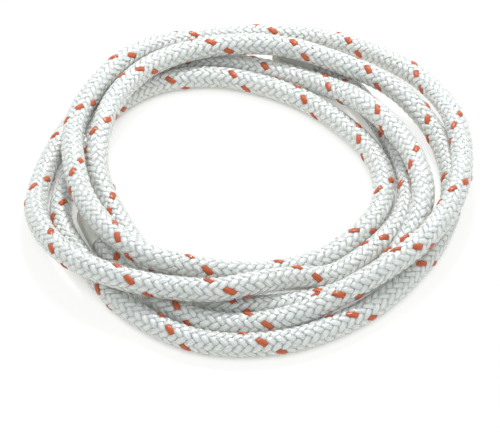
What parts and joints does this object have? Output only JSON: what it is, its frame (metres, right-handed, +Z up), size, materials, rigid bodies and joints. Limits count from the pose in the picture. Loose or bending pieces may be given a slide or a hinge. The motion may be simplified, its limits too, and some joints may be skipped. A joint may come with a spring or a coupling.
{
  "type": "dynamic climbing rope",
  "caption": "White braided dynamic climbing rope with an orange-red tracer yarn, lying in a loose round coil, both ends tucked under and sealed.",
  "frame": {"origin": "middle of the coil's bounding box, on the floor the rope lies on", "axes": "+Z up from the floor, +Y from the front edge of the coil to the back edge, +X to the right"},
  "size_m": [0.1934, 0.224, 0.0222],
  "materials": {
    "sheath": "glossy white braided polyamide with one orange-red tracer yarn",
    "core": "twisted white polyamide",
    "tape": "blank thin film",
    "sleeve": "plain translucent shrink sleeve",
    "tip": "melted and hardened polyamide"
  },
  "bodies": {
    "root": {"sheath": "sheath", "core_strand_1": "core", "core_strand_2": "core", "core_strand_3": "core", "core_strand_4": "core", "core_strand_5": "core", "core_strand_6": "core", "core_strand_7": "core", "marker_tape": "tape", "end_sleeve_1": "sleeve", "end_sleeve_2": "sleeve", "sealed_tip_1": "tip", "sealed_tip_2": "tip"}
  },
  "joints": []
}
